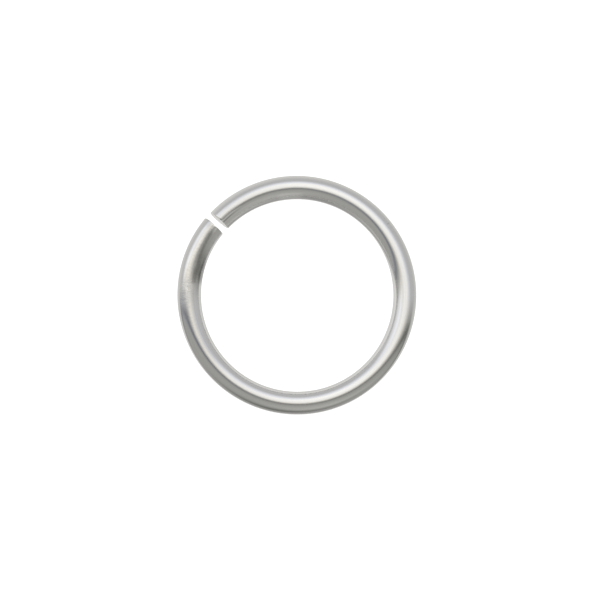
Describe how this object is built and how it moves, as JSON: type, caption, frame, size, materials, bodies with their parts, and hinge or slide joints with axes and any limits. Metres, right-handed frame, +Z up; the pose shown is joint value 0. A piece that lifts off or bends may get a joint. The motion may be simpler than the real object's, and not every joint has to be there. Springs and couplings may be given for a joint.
{
  "type": "jump ring",
  "caption": "Small open ring of round wire, one turn sawn off a wound coil, so that it can be twisted open and shut to link or hang something.",
  "frame": {"origin": "centre of the eye, on the ring's own axis, half way up the turn", "axes": "+Z up from the surface the ring rests on; the ring's own axis leans 4.4 degrees from it, because one end of the turn stands higher; the cut is 138.3 degrees from +X towards +Y"},
  "size_m": [0.0102, 0.0103, 0.0022],
  "materials": {
    "steel_wire": "gloss"
  },
  "bodies": {
    "root": {"jump_ring": "steel_wire"}
  },
  "joints": []
}
